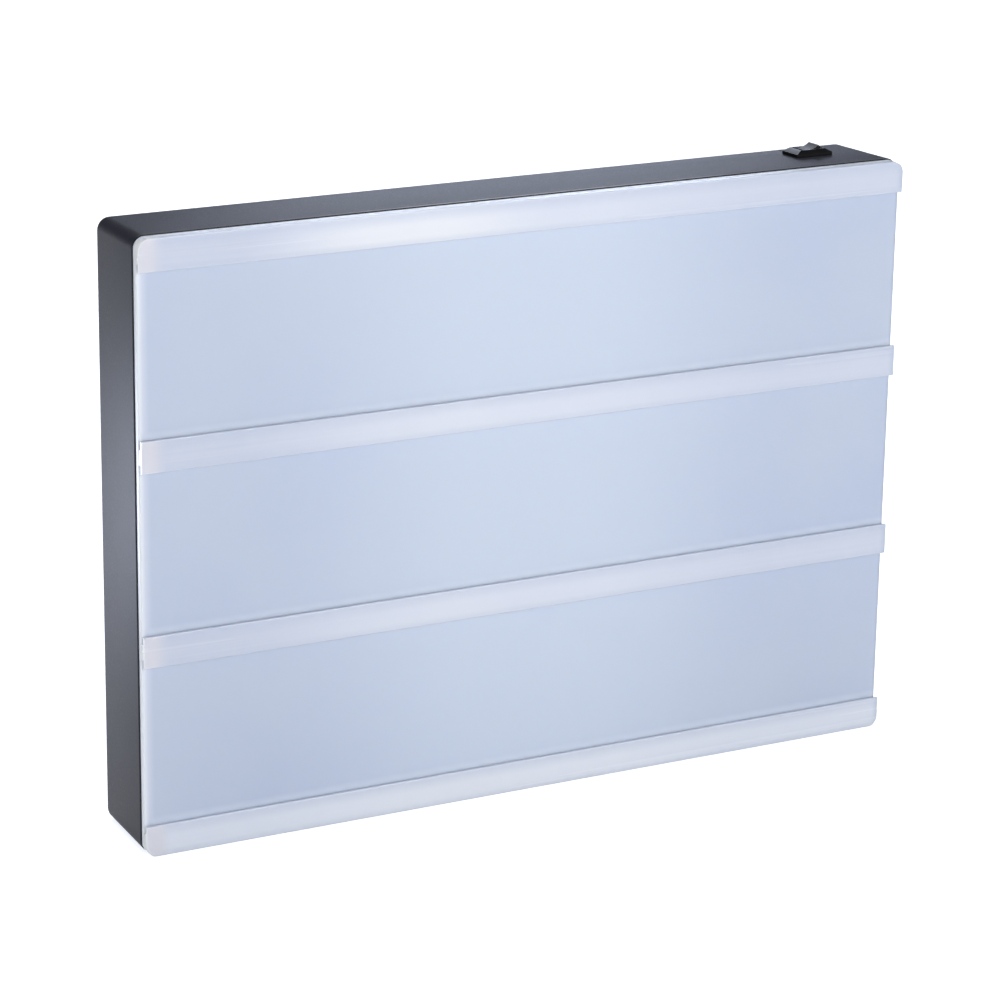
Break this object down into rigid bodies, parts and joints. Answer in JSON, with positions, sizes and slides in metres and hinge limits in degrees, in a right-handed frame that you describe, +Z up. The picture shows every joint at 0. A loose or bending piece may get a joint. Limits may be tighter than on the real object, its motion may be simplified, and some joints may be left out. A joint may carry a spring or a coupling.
{
  "type": "cinema light box",
  "caption": "Flat light box with a milky front panel, rails that hold letter cards, a battery bay with a hinged door and a rocker switch on top.",
  "frame": {"origin": "middle of the footprint, on the surface that the box stands on", "axes": "+X to the right seen from the front, +Y from the front to the back, +Z up"},
  "size_m": [0.3008, 0.04, 0.2236],
  "materials": {
    "housing": "fine-grained moulding, dark slate grey",
    "panel": "milky translucent, satin gloss",
    "rail": "milky translucent, polished",
    "screw_steel": "zinc plated",
    "reflector": "matt white film",
    "strip_board": "white solder mask",
    "led": "pale phosphor in a white chip",
    "green_board": "green solder mask",
    "board_part": "lacquered",
    "black_plastic": "moulded black",
    "switch_black": "moulded black",
    "rocker_black": "polished black",
    "brass": "bright",
    "contact_steel": "nickel plated",
    "copper": "bright copper alloy",
    "wire_black": "black insulation",
    "wire_red": "red insulation"
  },
  "bodies": {
    "case": {"rear_housing": "housing", "front_panel": "panel", "rail_top": "rail", "rail_upper": "rail", "rail_lower": "rail", "rail_bottom": "rail", "panel_screws": "screw_steel", "board_screws": "screw_steel", "reflector_sheet": "reflector", "led_strip_top": "strip_board", "led_strip_bottom": "strip_board", "led_strip_left": "strip_board", "led_strip_right": "strip_board", "leds_top": "led", "leds_bottom": "led", "leds_left": "led", "leds_right": "led", "control_board": "green_board", "board_parts": "board_part", "inlet_jack": "black_plastic", "inlet_pin": "brass", "inlet_blades": "contact_steel", "battery_contacts": "contact_steel", "battery_springs": "contact_steel", "switch_body": "switch_black", "switch_terminals": "brass", "battery_leads": "wire_black", "switch_leads": "wire_black", "led_leads": "wire_red", "feed_leads": "wire_red"},
    "door": {"battery_door": "housing", "door_latch": "housing"},
    "rocker": {"switch_rocker": "rocker_black", "switch_plunger": "brass", "switch_spring": "contact_steel"},
    "lever": {"switch_lever": "copper"}
  },
  "joints": [
    {"name": "door_hinge", "type": "hinge", "parent": "case", "child": "door", "pos_m": [0, 0.02, 0.053], "axis": [-1, 0, 0], "range_deg": [0, 75], "deforming": ["door_latch"]},
    {"name": "rocker_pivot", "type": "hinge", "parent": "case", "child": "rocker", "pos_m": [0.125, 0.00601, 0.21988], "axis": [0, 0.9994, -0.0344], "range_deg": [0, 24]},
    {"name": "lever_pivot", "type": "hinge", "parent": "case", "child": "lever", "pos_m": [0.125, 0.0057, 0.21089], "axis": [0, 0.9994, -0.0344], "range_deg": [-16, 0]}
  ],
  "couplings": [
    {"joint": "lever_pivot", "follows": "rocker_pivot", "ratio": -0.6666}
  ]
}
